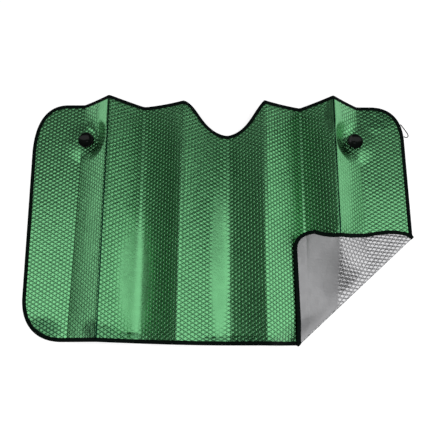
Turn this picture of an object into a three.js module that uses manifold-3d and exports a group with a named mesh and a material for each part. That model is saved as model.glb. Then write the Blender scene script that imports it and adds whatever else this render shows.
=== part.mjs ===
// Folding windscreen sunshade of bubble foil, lying with its pleats half open.
// Millimetres, +Z up, +X to the right along the pleats, +Y to the top edge.
// The origin is under the middle of the sheet, on the surface that it lies on.

import * as THREE from 'three';
import { mergeVertices } from 'three/addons/utils/BufferGeometryUtils.js';
import Module from 'manifold-3d';

const wasm = await Module();
wasm.setup();

// Driving dimensions of the sheet as it lies
const sheetWidth = 1091.5;
const sheetHeight = 700;
const foilThickness = 4.2;
const outerRidgeHeight = 72;
const innerRidgeHeight = 67;
const edgeBulge = 9;
const leftEdgeLean = 7.5;
const topLeftCornerWidth = 96;
const topLeftCornerHeight = 149;
const topRightCornerWidth = 92;
const topRightCornerHeight = 114;
const bottomCornerWidth = 115;
const bottomCornerHeight = 124;
const topLeftFullness = 0.65;
const cornerFullness = 0.62;

// The ten panels from left to right, as wide as they lie, which share out the sheet's width,
// and the fold at the right of each: how high it stands, how far it leans to the right on its
// way down the sheet, how far its top end lies below the top edge, and at a ridge the sag of
// its two walls
const panels = [
  { width: 145.5, fold: 'left outer valley', height: 0, lean: -8, drop: 0 },
  { width: 87, fold: 'left outer ridge', height: outerRidgeHeight, lean: 0, drop: 2, sag: 0.1 },
  { width: 91, fold: 'left inner valley', height: 0, lean: 0, drop: 5.5 },
  { width: 122, fold: 'left inner ridge', height: innerRidgeHeight, lean: -7, drop: 17, sag: 0.35 },
  { width: 126, fold: 'middle valley', height: 0, lean: 0, drop: 99 },
  { width: 105, fold: 'right inner ridge', height: innerRidgeHeight, lean: 0, drop: 16, sag: 0.15 },
  { width: 111, fold: 'right inner valley', height: 0, lean: 0, drop: 12 },
  { width: 86, fold: 'right outer ridge', height: outerRidgeHeight, lean: 0, drop: 4, sag: 0.1 },
  { width: 84, fold: 'right outer valley', height: 0, lean: 4, drop: 7 },
  { width: 134, fold: 'right edge', height: 0, lean: 0, drop: 7 },
];

// The notch that clears the mirror stem, from the left inner ridge over the middle valley to
// the right inner ridge: how its curve sets off at its floor and at its two shoulders
const notchFloorLeft = 77;
const notchFloorRight = 60;
const notchShoulderLeft = 42;
const notchShoulderRight = 35;
const notchShoulderFall = 30;

// The corner that is folded over, along a straight crease
const creaseRightEnd = 299;
const creaseBottomEnd = 336;
const flapGap = 1.5;
const flapCornerWidth = 59;
const flapCornerHeight = 53;
const flapTopRise = 16;
const flapTopStraight = 71;
const flapSagAtRidge = 20;
const flapLeftLean = 4;
const flapFadeOnPleat = 160;
const flapFadeBeside = 60;
const flapBridgeBlend = 50;

// Binding tape, folded over the edge of the foil, which is pressed flat under it
const bindingWidth = 11;
const tapeThickness = 1.0;
const pressedThickness = 1.4;
const gap = 0.3;

// Suction cups
const cupDiameter = 45;
const cupDepth = 11;
const cupWall = 2.2;
const cupLip = 1.2;
const cupShoulderDiameter = 15;
const cupShoulderHeight = 1.5;
const neckDiameter = 7;
const headDiameter = 12;
const headThickness = 4;
const headChamfer = 1.5;
const cupFromValley = 17;
const leftCupBelowTop = 119;
const rightCupBelowTop = 124;
const cupTilt = THREE.MathUtils.degToRad(5);
const cupSeatLift = 9.4;
const cupSeatRadius = 26;
const cupSeatBlend = 72;

// Elastic loop at the top of the right edge, as a route: how far to the right of the sheet's
// right edge, how far below its top edge and how high above the floor
const loopDiameter = 2.5;
const loopRoute = [
  [-6.7, 62, 2.1],
  [-5, 63.2, 2],
  [-2.6, 66, 1.7],
  [0.2, 69.9, 1.4],
  [5.9, 79.2, 1.35],
  [10.4, 86.8, 1.35],
  [13.4, 93.2, 1.35],
  [14, 96.5, 1.35],
  [13.5, 99.3, 1.35],
  [11.8, 101.6, 1.35],
  [9.3, 102.7, 1.35],
  [6.5, 102.7, 1.35],
  [3.7, 101.8, 1.6],
  [0.7, 99.8, 2.1],
];

// How finely the bent surfaces are divided
const stepsPerPanel = 5;
const rowsPerSheet = 20;
const curveSteps = 7;
const lapAtJoin = 0.5;
const meshTolerance = 0.05;
const spare = 8;
const prismTop = 200;

const halfWidth = sheetWidth / 2;
const topEdge = sheetHeight / 2;
const bottomEdge = -sheetHeight / 2;
const bottomCorners = bottomEdge + edgeBulge;
const foilMiddle = foilThickness / 2;
const bindingThickness = pressedThickness + 2 * gap + 2 * tapeThickness;
const flapLift = foilThickness + flapGap;
const rollRadius = flapLift / 2;
const rollReach = rollRadius + foilThickness / 2;
const smooth = (value) => THREE.MathUtils.smoothstep(value, 0, 1);

// Fold lines, each by its place at the top and at the bottom edge, and the point where it
// meets the top edge
const widthShared = panels.reduce((sum, panel) => sum + panel.width, 0);
const folds = [];
let reached = -halfWidth;
for (const panel of panels.slice(0, -1)) {
  reached += (panel.width / widthShared) * sheetWidth;
  const start = new THREE.Vector2(reached, topEdge - panel.drop);
  folds.push({ ...panel, name: panel.fold, top: reached, bottom: reached + panel.lean, start });
}
const foldNamed = (name) => folds.find((fold) => fold.name === name);
const leftOuterValley = foldNamed('left outer valley');
const leftOuterRidge = foldNamed('left outer ridge');
const leftInnerValley = foldNamed('left inner valley');
const leftInnerRidge = foldNamed('left inner ridge');
const middleValley = foldNamed('middle valley');
const rightInnerRidge = foldNamed('right inner ridge');
const rightInnerValley = foldNamed('right inner valley');
const rightOuterRidge = foldNamed('right outer ridge');
const rightOuterValley = foldNamed('right outer valley');

// Where a fold line crosses the height y
function foldAt(fold, y) {
  const down = (topEdge - y) / sheetHeight;
  return THREE.MathUtils.lerp(fold.top, fold.bottom, down);
}

// Crease line: its two ends on the outline, its direction and its inward normal
const creaseRight = new THREE.Vector2(halfWidth, bottomEdge + creaseRightEnd);
const creaseBottom = new THREE.Vector2(halfWidth - creaseBottomEnd, bottomEdge);
const creaseAlong = creaseRight.clone().sub(creaseBottom).normalize();
const creaseInward = new THREE.Vector2(-creaseAlong.y, creaseAlong.x);
const creaseLength = creaseRight.distanceTo(creaseBottom);
const fromCrease = (x, y) => new THREE.Vector2(x, y).sub(creaseBottom).dot(creaseInward);

// Pleat profile: the walls hang a little between valley and ridge
function pleatHeight(x, y) {
  for (let i = 1; i < folds.length; i += 1) {
    const left = foldAt(folds[i - 1], y);
    const right = foldAt(folds[i], y);
    if (x >= left && x <= right) {
      const rising = folds[i].height > folds[i - 1].height;
      const ridge = rising ? folds[i] : folds[i - 1];
      const along = (x - left) / (right - left);
      const share = rising ? along : 1 - along;
      return ridge.height * ((1 - ridge.sag) * share + ridge.sag * share * share);
    }
  }
  return 0;
}

// The pleats flatten towards the crease, so that the corner can fold over
function creaseFade(x, y) {
  const beside = x < foldAt(rightInnerValley, y);
  return smooth(fromCrease(x, y) / (beside ? flapFadeBeside : flapFadeOnPleat));
}

// Each suction cup stands beside an outer valley, on a small tilted seat where the foil lies
// over the cup's head
const leftCupY = topEdge - leftCupBelowTop;
const rightCupY = topEdge - rightCupBelowTop;
const cups = [
  { name: 'suction_cup_left', x: foldAt(leftOuterValley, leftCupY) + cupFromValley, y: leftCupY, side: 1 },
  { name: 'suction_cup_right', x: foldAt(rightOuterValley, rightCupY) - cupFromValley, y: rightCupY, side: -1 },
];
function seatHeight(cup, x) {
  const rise = Math.tan(cupTilt) * (x - cup.x) * cup.side;
  return foilMiddle + Math.max(cupSeatLift + rise, 0);
}

// Middle surface of the sheet
function sheetSurface(x, y) {
  let z = foilMiddle + pleatHeight(x, y) * creaseFade(x, y);
  for (const cup of cups) {
    const reach = Math.hypot(x - cup.x, y - cup.y);
    const blend = smooth((reach - cupSeatRadius) / (cupSeatBlend - cupSeatRadius));
    if (blend < 1) z = THREE.MathUtils.lerp(seatHeight(cup, x), z, blend);
  }
  return z;
}

// Middle surface of the folded corner, which bridges from its left edge over the ridge
const flapLeft = creaseBottom.x;
function flapSurface(x, y) {
  const ridgeX = foldAt(rightOuterRidge, y);
  const valleyX = foldAt(rightOuterValley, y);
  const crest = sheetSurface(ridgeX, y);
  const leftRest = sheetSurface(flapLeft, y);
  let bridge = foilMiddle;
  if (x <= ridgeX) {
    bridge = THREE.MathUtils.mapLinear(x, flapLeft, ridgeX, leftRest, crest);
  } else if (x < valleyX) {
    bridge = THREE.MathUtils.mapLinear(x, ridgeX, valleyX, crest, foilMiddle);
  }
  const share = smooth(fromCrease(x, y) / flapBridgeBlend);
  const below = sheetSurface(x, y);
  const lift = flapLift * THREE.MathUtils.lerp(1, wallStretch(sheetSurface, x, y), share);
  return Math.max(THREE.MathUtils.lerp(below, bridge, share), below) + lift;
}

// Three.js geometry to a solid, and back
function toSolid(geometry) {
  const bare = geometry.clone();
  bare.deleteAttribute('normal');
  bare.deleteAttribute('uv');
  const merged = mergeVertices(bare, 1e-5);
  const mesh = new wasm.Mesh({
    numProp: 3,
    vertProperties: new Float32Array(merged.attributes.position.array),
    triVerts: new Uint32Array(merged.index.array),
  });
  return new wasm.Manifold(mesh);
}

function toGeometry(solid) {
  const mesh = solid.simplify(meshTolerance).getMesh();
  const geometry = new THREE.BufferGeometry();
  geometry.setAttribute('position', new THREE.BufferAttribute(new Float32Array(mesh.vertProperties), 3));
  geometry.setIndex(new THREE.BufferAttribute(new Uint32Array(mesh.triVerts), 1));
  geometry.computeVertexNormals();
  return geometry;
}

// Column positions that fall on every fold line
function columnAt(position, y) {
  const lines = [-halfWidth - spare, ...folds.map((fold) => foldAt(fold, y)), halfWidth + spare];
  const panel = Math.min(Math.floor(position), lines.length - 2);
  return THREE.MathUtils.lerp(lines[panel], lines[panel + 1], position - panel);
}

// How much thicker a sloping wall measures straight up
function wallStretch(surface, x, y) {
  const probe = 2;
  const here = surface(x, y);
  const left = (here - surface(x - probe, y)) / probe;
  const right = (surface(x + probe, y) - here) / probe;
  const across = (Math.abs(left) + Math.abs(right)) / 2;
  const along = (surface(x, y + probe) - surface(x, y - probe)) / (2 * probe);
  return Math.hypot(1, across, along);
}

// A layer of the sheet: a grid bent onto a middle surface, with an upper and a lower skin of
// the same triangles, so that they stay parallel, and a wall round its border. A valley lies
// no lower than the flat outer panels.
function bentLayer(surface, thickness) {
  const columns = panels.length * stepsPerPanel;
  const plane = new THREE.PlaneGeometry(panels.length, sheetHeight + 2 * spare, columns, rowsPerSheet);
  const grid = plane.attributes.position;
  const vertices = [];
  for (const side of [1, -1]) {
    for (let i = 0; i < grid.count; i += 1) {
      const y = grid.getY(i);
      const x = columnAt(grid.getX(i) + panels.length / 2, y);
      const half = (thickness / 2) * wallStretch(surface, x, y);
      vertices.push(x, y, Math.max(surface(x, y) + side * half, foilMiddle - thickness / 2));
    }
  }
  const upper = Array.from(plane.index.array);
  const lower = upper.map((corner) => corner + grid.count);
  const triangles = upper.concat(lower.reverse());
  const row = columns + 1;
  const border = [
    ...Array.from({ length: columns }, (_, i) => i),
    ...Array.from({ length: rowsPerSheet }, (_, i) => columns + i * row),
    ...Array.from({ length: columns }, (_, i) => grid.count - 1 - i),
    ...Array.from({ length: rowsPerSheet }, (_, i) => (rowsPerSheet - i) * row),
  ];
  border.forEach((here, i) => {
    const next = border[(i + 1) % border.length];
    triangles.push(here, next, next + grid.count);
    triangles.push(here, next + grid.count, here + grid.count);
  });
  const geometry = new THREE.BufferGeometry();
  geometry.setAttribute('position', new THREE.Float32BufferAttribute(vertices, 3));
  geometry.setIndex(triangles);
  return toSolid(geometry);
}

// Outline of the whole sheet before its corner was folded over
function sheetOutline() {
  const shape = new THREE.Shape();
  const leftBottomX = -halfWidth + leftEdgeLean;
  const topLeftX = -halfWidth + topLeftCornerWidth;
  const topLeftY = topEdge - topLeftCornerHeight;
  const topRightX = halfWidth - topRightCornerWidth;
  const topRightY = topEdge - topRightCornerHeight;
  const bottomCornerY = bottomCorners + bottomCornerHeight;
  const rightTop = rightOuterValley.start.y;
  shape.moveTo(leftBottomX, bottomCornerY);
  shape.lineTo(-halfWidth, topLeftY);
  shape.bezierCurveTo(
    -halfWidth, topLeftY + topLeftFullness * topLeftCornerHeight,
    topLeftX - topLeftFullness * topLeftCornerWidth, topEdge,
    topLeftX, topEdge,
  );
  shape.lineTo(leftOuterValley.start.x, leftOuterValley.start.y);
  shape.lineTo(leftOuterRidge.start.x, leftOuterRidge.start.y);
  shape.quadraticCurveTo(
    leftInnerValley.start.x, leftInnerValley.start.y,
    leftInnerRidge.start.x, leftInnerRidge.start.y,
  );
  shape.bezierCurveTo(
    leftInnerRidge.start.x + notchShoulderLeft, leftInnerRidge.start.y,
    middleValley.start.x - notchFloorLeft, middleValley.start.y,
    middleValley.start.x, middleValley.start.y,
  );
  shape.bezierCurveTo(
    middleValley.start.x + notchFloorRight, middleValley.start.y,
    rightInnerRidge.start.x - notchShoulderRight, rightInnerRidge.start.y - notchShoulderFall,
    rightInnerRidge.start.x, rightInnerRidge.start.y,
  );
  shape.quadraticCurveTo(
    rightInnerValley.start.x, rightInnerValley.start.y,
    rightOuterRidge.start.x, rightOuterRidge.start.y,
  );
  shape.lineTo(rightOuterValley.start.x, rightTop);
  shape.lineTo(topRightX, rightTop);
  shape.bezierCurveTo(
    topRightX + cornerFullness * topRightCornerWidth, rightTop,
    halfWidth, topRightY + cornerFullness * topRightCornerHeight,
    halfWidth, topRightY,
  );
  shape.lineTo(halfWidth, bottomCornerY);
  shape.quadraticCurveTo(halfWidth, bottomEdge, halfWidth - bottomCornerWidth, bottomEdge);
  shape.lineTo(middleValley.bottom, bottomEdge);
  shape.quadraticCurveTo(leftInnerRidge.bottom, bottomEdge, leftOuterRidge.bottom, bottomCorners);
  shape.lineTo(leftBottomX + bottomCornerWidth, bottomCorners);
  shape.bezierCurveTo(
    leftBottomX + (1 - cornerFullness) * bottomCornerWidth, bottomCorners,
    leftBottomX, bottomCornerY - cornerFullness * bottomCornerHeight,
    leftBottomX, bottomCornerY,
  );
  return shape.getPoints(curveSteps);
}

// Outline of the folded corner: its two edges, and the crease side left open by a wide margin
function flapOutline() {
  const topY = creaseRight.y + flapTopRise;
  const cornerTop = topY - flapTopRise / 2;
  const left = flapLeft - flapLeftLean;
  const straight = halfWidth - flapTopStraight;
  const overRidge = rightOuterRidge.bottom;
  const beyond = creaseInward.clone().multiplyScalar(-3 * bindingWidth);
  const shape = new THREE.Shape();
  shape.moveTo(creaseRight.x + beyond.x, creaseRight.y + beyond.y);
  shape.lineTo(creaseRight.x, creaseRight.y);
  shape.quadraticCurveTo(creaseRight.x - flapTopRise, topY, straight, topY);
  shape.bezierCurveTo(
    (straight + overRidge) / 2, topY - flapSagAtRidge / 4,
    overRidge, topY - 2 * flapSagAtRidge,
    left + flapCornerWidth, cornerTop,
  );
  shape.quadraticCurveTo(left, cornerTop, left, cornerTop - flapCornerHeight);
  shape.lineTo(flapLeft, creaseBottom.y);
  shape.lineTo(flapLeft + beyond.x, creaseBottom.y + beyond.y);
  return shape.getPoints(curveSteps);
}

// The same outline, moved inwards by a distance
function inset(points, distance) {
  const ring = points.filter((point, i) => point.distanceTo(points[(i + 1) % points.length]) > 1e-6);
  const turn = Math.sign(THREE.ShapeUtils.area(ring));
  return ring.map((point, i) => {
    const before = ring[(i + ring.length - 1) % ring.length];
    const after = ring[(i + 1) % ring.length];
    const into = point.clone().sub(before).normalize();
    const out = after.clone().sub(point).normalize();
    const normal = new THREE.Vector2(-into.y - out.y, into.x + out.x).normalize();
    const spread = normal.dot(new THREE.Vector2(-into.y, into.x));
    return point.clone().addScaledVector(normal, (turn * distance) / spread);
  });
}

// A tall straight prism over an outline
function prism(points) {
  const geometry = new THREE.ExtrudeGeometry(new THREE.Shape(points), { depth: 2 * prismTop, bevelEnabled: false });
  geometry.translate(0, 0, -prismTop);
  return toSolid(geometry);
}

// Everything inwards of the crease, up to where the roll begins
function creaseSide(lap) {
  const size = 4 * sheetWidth;
  const box = new THREE.BoxGeometry(size, size, 2 * prismTop);
  box.translate(0, size / 2 + rollReach - lap, 0);
  box.rotateZ(creaseAlong.angle());
  box.translate(creaseBottom.x, creaseBottom.y, 0);
  return toSolid(box);
}

// Half-round roll along the crease, between two distances from its lower end
function creaseRoll(thickness, from, to) {
  const inner = rollRadius - thickness / 2;
  const outer = rollRadius + thickness / 2;
  const shape = new THREE.Shape();
  shape.absarc(0, 0, outer, -Math.PI / 2, Math.PI / 2, false);
  shape.absarc(0, 0, inner, Math.PI / 2, -Math.PI / 2, true);
  const geometry = new THREE.ExtrudeGeometry(shape, { depth: to - from, bevelEnabled: false, curveSegments: 8 });
  const outward = new THREE.Vector3(-creaseInward.x, -creaseInward.y, 0);
  const along = new THREE.Vector3(creaseAlong.x, creaseAlong.y, 0);
  const up = new THREE.Vector3(0, 0, 1);
  const frame = new THREE.Matrix4().makeBasis(outward, up, along.clone().negate());
  const start = new THREE.Vector3(creaseBottom.x, creaseBottom.y, foilMiddle + rollRadius)
    .addScaledVector(outward, -rollReach)
    .addScaledVector(along, to);
  frame.setPosition(start);
  geometry.applyMatrix4(frame);
  return toSolid(geometry);
}

// A layer over the whole folded sheet: main part and folded corner, cut to the two outlines
const outlines = { sheet: sheetOutline(), flap: flapOutline() };
function foldedLayer(thickness, insetBy, lap = lapAtJoin) {
  const side = creaseSide(lap);
  const lower = bentLayer(sheetSurface, thickness)
    .intersect(prism(inset(outlines.sheet, insetBy)))
    .intersect(side);
  const upper = bentLayer(flapSurface, thickness)
    .intersect(prism(inset(outlines.flap, insetBy)))
    .intersect(side);
  return { lower, upper };
}

// How far along the crease an inset edge lies from each end
const sineAtBottom = Math.abs(creaseAlong.y);
const sineAtRight = Math.abs(creaseAlong.x);
const alongAtBottom = (distance) => distance / sineAtBottom;
const alongAtRight = (distance) => creaseLength - distance / sineAtRight;

const edgeClearance = tapeThickness + gap;
const foilInset = bindingWidth + gap;

// Bubble foil sheet: full thickness inside the binding, pressed flat under it
function bubbleFoilSheet() {
  const full = foldedLayer(foilThickness, foilInset);
  const pressed = foldedLayer(pressedThickness, edgeClearance);
  const fullRoll = creaseRoll(foilThickness, alongAtBottom(foilInset), alongAtRight(foilInset));
  const pressedRoll = creaseRoll(pressedThickness, alongAtBottom(edgeClearance), alongAtRight(edgeClearance));
  let sheet = full.lower.add(full.upper).add(fullRoll);
  sheet = sheet.add(pressed.lower).add(pressed.upper).add(pressedRoll);
  for (const cup of cups) {
    const hole = new THREE.CylinderGeometry(neckDiameter / 2 + gap, neckDiameter / 2 + gap, 8 * foilThickness, 20);
    hole.rotateX(Math.PI / 2);
    hole.applyMatrix4(cupFrame(cup));
    sheet = sheet.subtract(toSolid(hole));
  }
  return toGeometry(sheet);
}

// Edge binding: a tape of U section that follows the edge, the folded corner and its two turns
function edgeBinding() {
  const outer = foldedLayer(bindingThickness, 0);
  const cavityThickness = pressedThickness + 2 * gap;
  const cavity = foldedLayer(cavityThickness, tapeThickness, lapAtJoin + gap);
  const window = foldedLayer(foilThickness + 2 * gap, bindingWidth, lapAtJoin + gap);
  const turnAtBottom = creaseRoll(bindingThickness, 0, alongAtBottom(bindingWidth));
  const turnAtRight = creaseRoll(bindingThickness, alongAtRight(bindingWidth), creaseLength);
  let tape = outer.lower.add(outer.upper).add(turnAtBottom).add(turnAtRight);
  tape = tape.subtract(window.lower).subtract(window.upper);
  tape = tape.subtract(cavity.lower).subtract(cavity.upper);
  tape = tape.subtract(creaseRoll(cavityThickness, alongAtBottom(tapeThickness), alongAtRight(tapeThickness)));
  return toGeometry(tape);
}

// Frame of a suction cup: on its seat, tilted with it
function cupFrame(cup) {
  const frame = new THREE.Matrix4().makeRotationY(-cupTilt * cup.side);
  frame.setPosition(cup.x, cup.y, foilMiddle + cupSeatLift);
  return frame;
}

// Suction cup: cup, neck through the foil and mushroom head, turned in one piece
function suctionCup(cup) {
  const rim = cupDiameter / 2;
  const neck = neckDiameter / 2;
  const shoulder = cupShoulderDiameter / 2;
  const top = foilThickness / 2 + gap;
  const rimTop = top + cupDepth;
  const bowlFloor = top + cupWall;
  const profile = [
    [0, -top - headThickness],
    [headDiameter / 2 - headChamfer, -top - headThickness],
    [headDiameter / 2, -top - headThickness + headChamfer],
    [headDiameter / 2, -top],
    [neck, -top],
    [neck, top],
    [shoulder, top],
    [shoulder, top + cupShoulderHeight],
    [rim * 0.66, top + cupDepth * 0.36],
    [rim * 0.92, top + cupDepth * 0.72],
    [rim, rimTop - cupLip / 2],
    [rim, rimTop],
    [rim - cupLip, rimTop],
    [rim * 0.8, top + cupDepth * 0.72],
    [rim * 0.55, bowlFloor + cupDepth * 0.28],
    [rim * 0.25, bowlFloor + cupDepth * 0.03],
    [0, bowlFloor],
  ];
  const geometry = new THREE.LatheGeometry(profile.map(([r, z]) => new THREE.Vector2(r, z)), 24);
  geometry.rotateX(Math.PI / 2);
  geometry.applyMatrix4(cupFrame(cup));
  return toGeometry(toSolid(geometry));
}

// Elastic loop: a cord that leaves the binding, turns back and ends beside it again
function elasticLoop() {
  const route = loopRoute.map(([beyond, below, z]) => new THREE.Vector3(halfWidth + beyond, topEdge - below, z));
  const path = new THREE.CatmullRomCurve3(route, false, 'centripetal');
  const section = new THREE.Shape();
  section.absarc(0, 0, loopDiameter / 2, 0, 2 * Math.PI);
  return new THREE.ExtrudeGeometry(section, { steps: 36, curveSegments: 4, extrudePath: path });
}

const group = new THREE.Group();

function addPiece(name, geometry, material) {
  const mesh = new THREE.Mesh(geometry, new THREE.MeshStandardMaterial(material));
  mesh.name = name;
  group.add(mesh);
}

addPiece('bubble_foil_sheet', bubbleFoilSheet(), { color: 0x56a873, roughness: 0.3, metalness: 1 });
addPiece('edge_binding', edgeBinding(), { color: 0x0b0d0c, roughness: 0.9, metalness: 0 });
for (const cup of cups) {
  addPiece(cup.name, suctionCup(cup), { color: 0x101213, roughness: 0.2, metalness: 0 });
}
addPiece('elastic_loop', elasticLoop(), { color: 0x0a0a0b, roughness: 0.85, metalness: 0 });

export default group;
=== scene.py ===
# %% [markdown]
# A folding windscreen sunshade of bubble foil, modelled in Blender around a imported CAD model.
# The shade is a laminate of air bubbles between a green and a silver metallised film. It is
# pleated like an accordion, bound with black tape, and it lies with its pleats half open and one
# corner folded over. The cells below bend flat grids into its films and its tape, turn its
# suction cups, and finish each surface with procedural nodes.

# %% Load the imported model
import math
import bmesh
import bpy
import numpy as np
from mathutils import Matrix, Vector
from mathutils.geometry import interpolate_bezier


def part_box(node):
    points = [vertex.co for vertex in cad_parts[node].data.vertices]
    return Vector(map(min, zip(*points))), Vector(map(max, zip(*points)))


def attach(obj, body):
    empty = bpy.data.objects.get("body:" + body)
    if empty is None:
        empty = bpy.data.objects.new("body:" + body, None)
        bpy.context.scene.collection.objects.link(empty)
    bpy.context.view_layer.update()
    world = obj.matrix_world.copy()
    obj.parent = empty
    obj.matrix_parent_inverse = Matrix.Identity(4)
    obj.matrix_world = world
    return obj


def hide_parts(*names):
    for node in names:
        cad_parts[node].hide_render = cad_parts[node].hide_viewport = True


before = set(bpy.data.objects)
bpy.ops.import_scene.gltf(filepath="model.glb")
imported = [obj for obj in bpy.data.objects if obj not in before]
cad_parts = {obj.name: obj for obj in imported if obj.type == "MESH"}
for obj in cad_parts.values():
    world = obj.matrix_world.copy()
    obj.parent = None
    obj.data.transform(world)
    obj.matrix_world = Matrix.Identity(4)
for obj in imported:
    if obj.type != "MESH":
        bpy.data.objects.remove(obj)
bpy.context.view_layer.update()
print("CAD nodes:", sorted(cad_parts))

# %% [markdown]
# The shape functions work in millimetres, because the sizes of such a shade are read more
# easily that way, and MM turns them into Blender's metres. The overall size comes from the CAD
# tape's bounds, so the films and the tape always fit the CAD solids.

# %% Sizes of the shade
MM = 0.001
tape_low, tape_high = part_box("edge_binding")
HALF_WIDTH = tape_high[0] / MM
TOP = tape_high[1] / MM
BOTTOM = tape_low[1] / MM
HEIGHT = TOP - BOTTOM
FOIL_THICKNESS = 4.2
FOIL_MIDDLE = FOIL_THICKNESS / 2
print(f"sheet {2 * HALF_WIDTH:.0f} x {HEIGHT:.0f} mm as it lies")

# %% [markdown]
# Camera. It stands above the bottom edge of the sheet and looks down, leaning a little towards
# the top edge. A pixel size and a focal length in pixels give Blender's focal length.

# %% Camera
PHOTO_SIZE = 440
FOCAL_PIXELS = 520
camera_data = bpy.data.cameras.new("camera")
camera = bpy.data.objects.new("camera", camera_data)
bpy.context.scene.collection.objects.link(camera)
camera_data.sensor_width = 36
camera_data.lens = camera_data.sensor_width * FOCAL_PIXELS / PHOTO_SIZE
camera.location = (0.00375, -0.350, 1.437)
aim = Vector((0.00375, -0.003, 0))
camera.rotation_euler = (aim - camera.location).to_track_quat("-Z", "Y").to_euler()
bpy.context.scene.camera = camera
print(f"lens {camera_data.lens:.1f} mm, tilt {math.degrees(camera.rotation_euler.x):.1f} degrees")

# %% [markdown]
# Elastic loop. It holds the shade rolled up when it is put away, and both its ends are sewn in
# under the binding. It is so thin that it needs no more than a curve with a round bevel, which
# Blender keeps at its true length along a route of points. Each point says how far to the right
# of the sheet's right edge it lies, how far below its top edge, and how high above the floor.

# %% Elastic loop
LOOP_DIAMETER = 2.5
LOOP_POINTS = [
    (-6.7, 62.0, 2.1), (-5.0, 63.2, 2.0), (-2.6, 66.0, 1.7), (0.2, 69.9, 1.4), (5.9, 79.2, 1.35),
    (10.4, 86.8, 1.35), (13.4, 93.2, 1.35), (14.0, 96.5, 1.35), (13.5, 99.3, 1.35), (11.8, 101.6, 1.35),
    (9.3, 102.7, 1.35), (6.5, 102.7, 1.35), (3.7, 101.8, 1.6), (0.7, 99.8, 2.1),
]
LOOP_ROUTE = [(HALF_WIDTH + beyond, TOP - below, z) for beyond, below, z in LOOP_POINTS]
loop_curve = bpy.data.curves.new("elastic_loop_cord", "CURVE")
loop_curve.dimensions = "3D"
loop_curve.bevel_depth = LOOP_DIAMETER / 2 * MM
loop_curve.bevel_resolution = 4
loop_spline = loop_curve.splines.new("BEZIER")
loop_spline.bezier_points.add(len(LOOP_ROUTE) - 1)
for point, place in zip(loop_spline.bezier_points, LOOP_ROUTE):
    point.co = Vector(place) * MM
    point.handle_left_type = "AUTO"
    point.handle_right_type = "AUTO"
loop_spline.resolution_u = 8
elastic_loop = bpy.data.objects.new("elastic_loop_cord", loop_curve)
bpy.context.scene.collection.objects.link(elastic_loop)

# %% [markdown]
# Nine folds divide the sheet into ten panels. Each row below is one panel, from left to right: its
# width as it lies, and then the fold at its right. A fold has a height, leans to the right on its
# way down, starts a drop below the top edge, lets the walls beside a ridge sag, and is soft (1)
# where the foil bends in a wide curve, or sharp (0) where it was creased.

# %% Fold lines
OUTER_RIDGE = 72.0
INNER_RIDGE = 67.0
PANEL_COLUMNS = ["width", "height", "lean", "drop", "sag", "soft"]
PANELS = [
    (145.5, 0, -8, 0, 0, 0.0),
    (87, OUTER_RIDGE, 0, 2, 0.1, 0.0),
    (91, 0, 0, 5.5, 0, 0.8),
    (122, INNER_RIDGE, -7, 17, 0.35, 0.0),
    (126, 0, 0, 99, 0, 0.8),
    (105, INNER_RIDGE, 0, 16, 0.15, 0.0),
    (111, 0, 0, 12, 0, 0.3),
    (86, OUTER_RIDGE, 0, 4, 0.1, 0.0),
    (84, 0, 4, 7, 0, 0.1),
    (134, 0, 0, 7, 0, 0.0),
]
LEFT_OUTER_VALLEY, LEFT_OUTER_RIDGE, LEFT_INNER_VALLEY, LEFT_INNER_RIDGE, MIDDLE_VALLEY = 1, 2, 3, 4, 5
RIGHT_INNER_RIDGE, RIGHT_INNER_VALLEY, RIGHT_OUTER_RIDGE, RIGHT_OUTER_VALLEY = 6, 7, 8, 9
panel_table = dict(zip(PANEL_COLUMNS, np.array(PANELS, float).T))
panel_ends = np.cumsum(panel_table["width"]) / panel_table["width"].sum() * 2 * HALF_WIDTH - HALF_WIDTH
FOLD_TOP = np.concatenate([[-HALF_WIDTH], panel_ends])
FOLD_HEIGHT = np.concatenate([[0], panel_table["height"]])
FOLD_LEAN = np.concatenate([[0], panel_table["lean"]])
FOLD_START = TOP - np.concatenate([[0], panel_table["drop"]])
FOLD_SAG = np.concatenate([[0], panel_table["sag"]])
FOLD_SOFT = np.concatenate([[0], panel_table["soft"]])


def fold_at(fold, y):
    """Where a fold crosses the height y."""
    return FOLD_TOP[fold] + FOLD_LEAN[fold] * (TOP - y) / HEIGHT


def slid(x, y, to_leaning):
    """Moves x between the folds as they are at the top edge and as they lie at the height y."""
    moved = np.array(x, float)
    for i in range(len(PANELS)):
        at_top = (FOLD_TOP[i], FOLD_TOP[i + 1])
        at_y = (fold_at(i, y), fold_at(i + 1, y))
        start, end = (at_top, at_y) if to_leaning else (at_y, at_top)
        inside = (x >= start[0]) & (x <= start[1])
        share = (x - start[0]) / (start[1] - start[0])
        moved = np.where(inside, end[0] + share * (end[1] - end[0]), moved)
    return moved


# %% [markdown]
# A fold in bubble foil isn't a knife edge: the bubbles round it off, and more so where it was
# never creased hard. So the pleats' profile is worked out once along the top edge, blurred by a
# small or a large radius, and kept as a curve. The length along that curve is also the place on
# the flat sheet, where the bubbles were made, so they stay round however steep the panel is.

# %% Profile of the pleats and length of the flat sheet
PROFILE_STEP = 0.5
SHARP_RADIUS = 2.2
SOFT_RADIUS = 8.0


def sharp_profile(x):
    """Height of the pleats with sharp folds, along the top edge."""
    panel = np.clip(np.searchsorted(FOLD_TOP, x) - 1, 0, len(PANELS) - 1)
    share = np.clip((x - FOLD_TOP[panel]) / (FOLD_TOP[panel + 1] - FOLD_TOP[panel]), 0, 1)
    rising = FOLD_HEIGHT[panel + 1] > FOLD_HEIGHT[panel]
    share = np.where(rising, share, 1 - share)
    ridge = np.where(rising, panel + 1, panel)
    return FOLD_HEIGHT[ridge] * ((1 - FOLD_SAG[ridge]) * share + FOLD_SAG[ridge] * share**2)


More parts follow.
